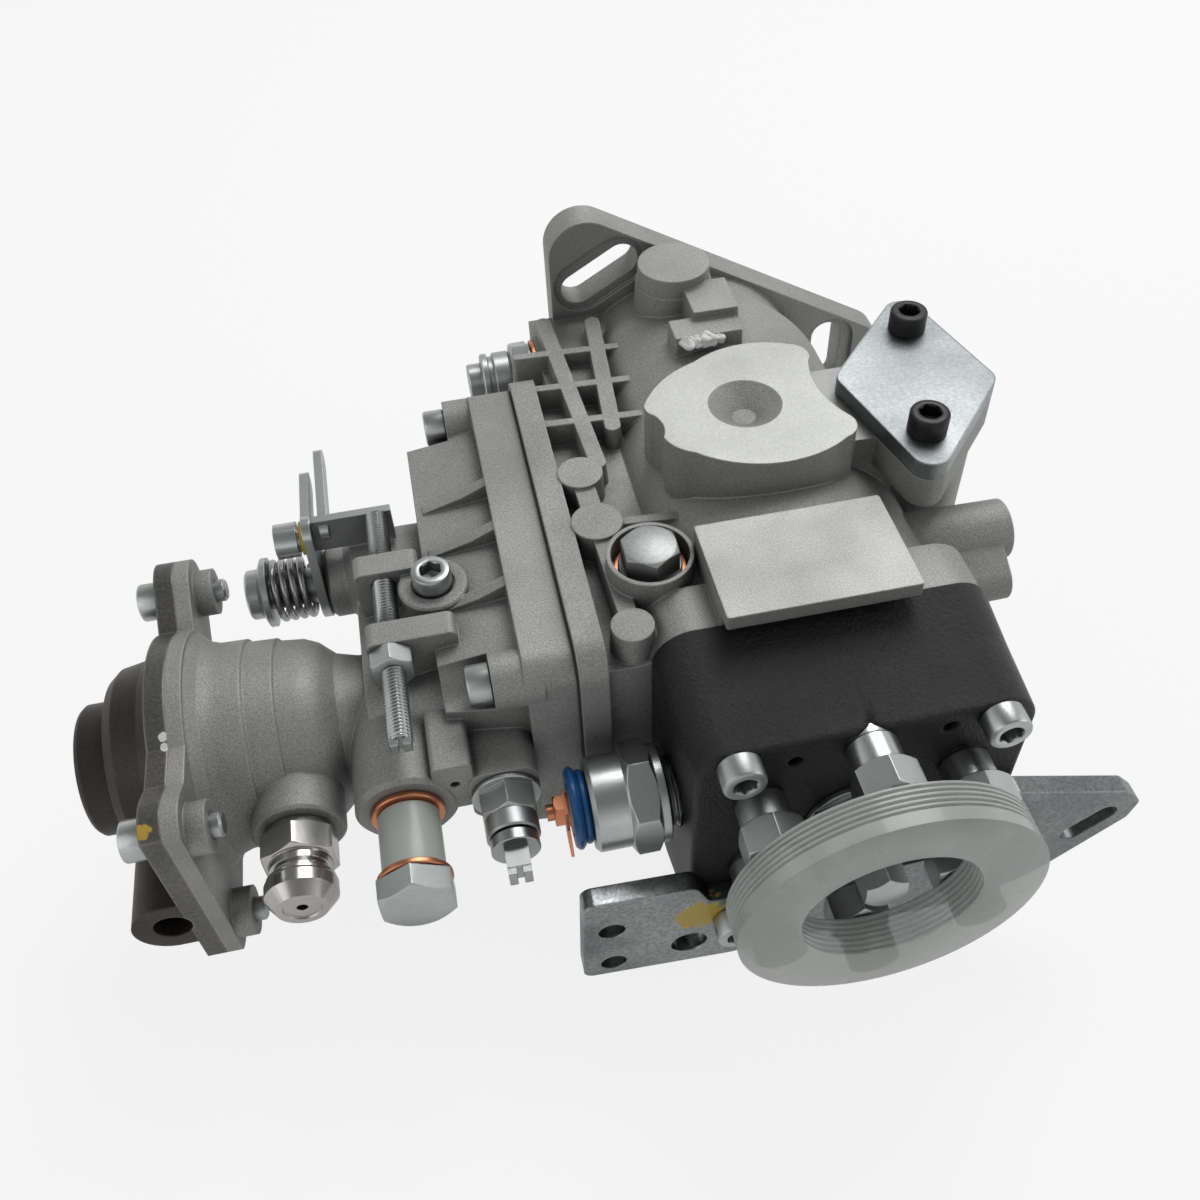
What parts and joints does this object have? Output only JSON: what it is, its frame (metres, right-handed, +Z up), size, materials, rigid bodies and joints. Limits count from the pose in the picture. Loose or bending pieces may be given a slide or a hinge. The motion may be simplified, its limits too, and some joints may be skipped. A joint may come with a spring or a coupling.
{
  "type": "diesel injection pump",
  "caption": "Rotary distributor diesel injection pump with six outlets, boost compensator, flyweight governor, timing device and stop solenoid.",
  "frame": {"origin": "centre of the mounting flange's face on the drive shaft axis", "axes": "+Y along the drive shaft away from the pump, -Y towards the outlets, -X towards the governor cover and the boost compensator, +Z up"},
  "size_m": [0.2562, 0.2515, 0.1242],
  "materials": {
    "cast_aluminium": "sand-cast, fine grain",
    "machined_aluminium": "machined",
    "dark_cast": "as cast, dark",
    "black_cast": "black coated casting",
    "zinc_steel": "zinc plated",
    "stainless": "turned stainless",
    "black_steel": "black oxide",
    "ground_steel": "ground",
    "spring_steel": "bright wire",
    "copper": "soft copper",
    "bronze": "turned bronze",
    "white_plastic": "moulded",
    "blue_rubber": "smooth",
    "black_rubber": "smooth",
    "gasket_fibre": "fibre sheet",
    "clear_plastic": "translucent, moulded"
  },
  "bodies": {
    "housing": {"pump_housing": "cast_aluminium", "governor_cover": "cast_aluminium", "cover_gasket": "gasket_fibre", "hydraulic_head": "black_cast", "boost_cover": "dark_cast", "boost_diaphragm": "black_rubber", "boost_screws": "zinc_steel", "cover_screws": "zinc_steel", "head_screws": "zinc_steel", "timing_screws": "black_steel", "timing_covers": "zinc_steel", "timing_spring": "spring_steel", "delivery_valve_holders": "zinc_steel", "delivery_valves": "ground_steel", "central_plug": "zinc_steel", "distributor_barrel": "ground_steel", "plunger_springs": "spring_steel", "shaft_seal": "black_rubber", "bearing_bush": "bronze", "feed_pump_ring": "dark_cast", "feed_pump_cover": "dark_cast", "governor_shaft": "ground_steel", "governor_spring": "spring_steel", "throttle_spring": "spring_steel", "adjusting_screws": "zinc_steel", "lock_nuts": "zinc_steel", "banjo_bolt": "zinc_steel", "banjo_sleeve": "white_plastic", "copper_washers": "copper", "overflow_fitting": "zinc_steel", "side_plug": "zinc_steel", "boost_fitting": "stainless", "solenoid_body": "zinc_steel", "solenoid_rings": "blue_rubber", "solenoid_terminal": "copper", "support_bracket": "zinc_steel"},
    "drive": {"drive_shaft": "ground_steel", "shaft_key": "ground_steel", "feed_pump_rotor": "ground_steel", "governor_drive_gear": "ground_steel", "coupling_disc": "ground_steel", "cam_plate": "ground_steel", "plunger": "ground_steel"},
    "governor": {"flyweight_carrier": "ground_steel"},
    "flyweight_a": {"flyweight_1": "ground_steel"},
    "flyweight_b": {"flyweight_2": "ground_steel"},
    "flyweight_c": {"flyweight_3": "ground_steel"},
    "flyweight_d": {"flyweight_4": "ground_steel"},
    "sleeve": {"sliding_sleeve": "ground_steel"},
    "lever": {"governor_lever": "ground_steel"},
    "collar": {"control_collar": "ground_steel"},
    "ring": {"roller_ring": "ground_steel", "rollers": "ground_steel"},
    "piston": {"timing_piston": "ground_steel"},
    "throttle": {"throttle_shaft": "zinc_steel", "throttle_lever": "zinc_steel"},
    "boost": {"boost_pin": "ground_steel", "boost_spring": "spring_steel"},
    "armature": {"solenoid_armature": "zinc_steel"},
    "cap": {"outlet_cap": "clear_plastic"}
  },
  "joints": [
    {"name": "drive_spin", "type": "hinge", "parent": "housing", "child": "drive", "pos_m": [0, 0, 0], "axis": [0, 1, 0], "continuous": true},
    {"name": "governor_spin", "type": "hinge", "parent": "housing", "child": "governor", "pos_m": [-0.048, 0, 0], "axis": [0, 1, 0], "continuous": true},
    {"name": "lever_swing", "type": "hinge", "parent": "housing", "child": "lever", "pos_m": [-0.022, -0.117, 0], "axis": [0, 0, 1], "range_deg": [0, 6], "stiffness_Nm_per_rad": 0.5, "springref_deg": -2.86},
    {"name": "sleeve_slide", "type": "slide", "parent": "housing", "child": "sleeve", "axis": [0, -1, 0], "range_m": [0, 0.003]},
    {"name": "collar_slide", "type": "slide", "parent": "housing", "child": "collar", "axis": [0, 1, 0], "range_m": [0, 0.0013]},
    {"name": "ring_turn", "type": "hinge", "parent": "housing", "child": "ring", "pos_m": [0, -0.087, 0], "axis": [0, 1, 0], "range_deg": [-9, 9]},
    {"name": "piston_slide", "type": "slide", "parent": "housing", "child": "piston", "axis": [0, 0, 1], "range_m": [-0.007, 0.007]},
    {"name": "throttle_turn", "type": "hinge", "parent": "housing", "child": "throttle", "pos_m": [0, -0.078, 0.002], "axis": [-1, 0, 0], "range_deg": [0, 50], "stiffness_Nm_per_rad": 0.2, "springref_deg": -17.19},
    {"name": "boost_slide", "type": "slide", "parent": "housing", "child": "boost", "axis": [1, 0, 0], "range_m": [0, 0.008], "stiffness_N_per_m": 3000, "springref_m": -0.002},
    {"name": "armature_slide", "type": "slide", "parent": "housing", "child": "armature", "axis": [-1, 0, 0], "range_m": [0, 0.0015], "stiffness_N_per_m": 1500, "springref_m": -0.001},
    {"name": "cap_slide", "type": "slide", "parent": "housing", "child": "cap", "axis": [0, -1, 0], "range_m": [0, 0.016]},
    {"name": "flyweight_a_swing", "type": "hinge", "parent": "governor", "child": "flyweight_a", "pos_m": [-0.0345, -0.0655, 0], "axis": [0, 0, 1], "range_deg": [0, 22.5]},
    {"name": "flyweight_b_swing", "type": "hinge", "parent": "governor", "child": "flyweight_b", "pos_m": [-0.048, -0.0655, -0.0135], "axis": [1, 0, 0], "range_deg": [0, 22.5]},
    {"name": "flyweight_c_swing", "type": "hinge", "parent": "governor", "child": "flyweight_c", "pos_m": [-0.0615, -0.0655, 0], "axis": [0, 0, -1], "range_deg": [0, 22.5]},
    {"name": "flyweight_d_swing", "type": "hinge", "parent": "governor", "child": "flyweight_d", "pos_m": [-0.048, -0.0655, 0.0135], "axis": [-1, 0, 0], "range_deg": [0, 22.5]}
  ],
  "couplings": [
    {"joint": "governor_spin", "follows": "drive_spin", "ratio": -1.5},
    {"joint": "sleeve_slide", "follows": "lever_swing", "m_per_rad": 0.026},
    {"joint": "collar_slide", "follows": "lever_swing", "m_per_rad": 0.0115},
    {"joint": "piston_slide", "follows": "ring_turn", "m_per_rad": -0.044},
    {"joint": "flyweight_a_swing", "follows": "lever_swing", "ratio": 3.667},
    {"joint": "flyweight_b_swing", "follows": "lever_swing", "ratio": 3.667},
    {"joint": "flyweight_c_swing", "follows": "lever_swing", "ratio": 3.667},
    {"joint": "flyweight_d_swing", "follows": "lever_swing", "ratio": 3.667}
  ]
}
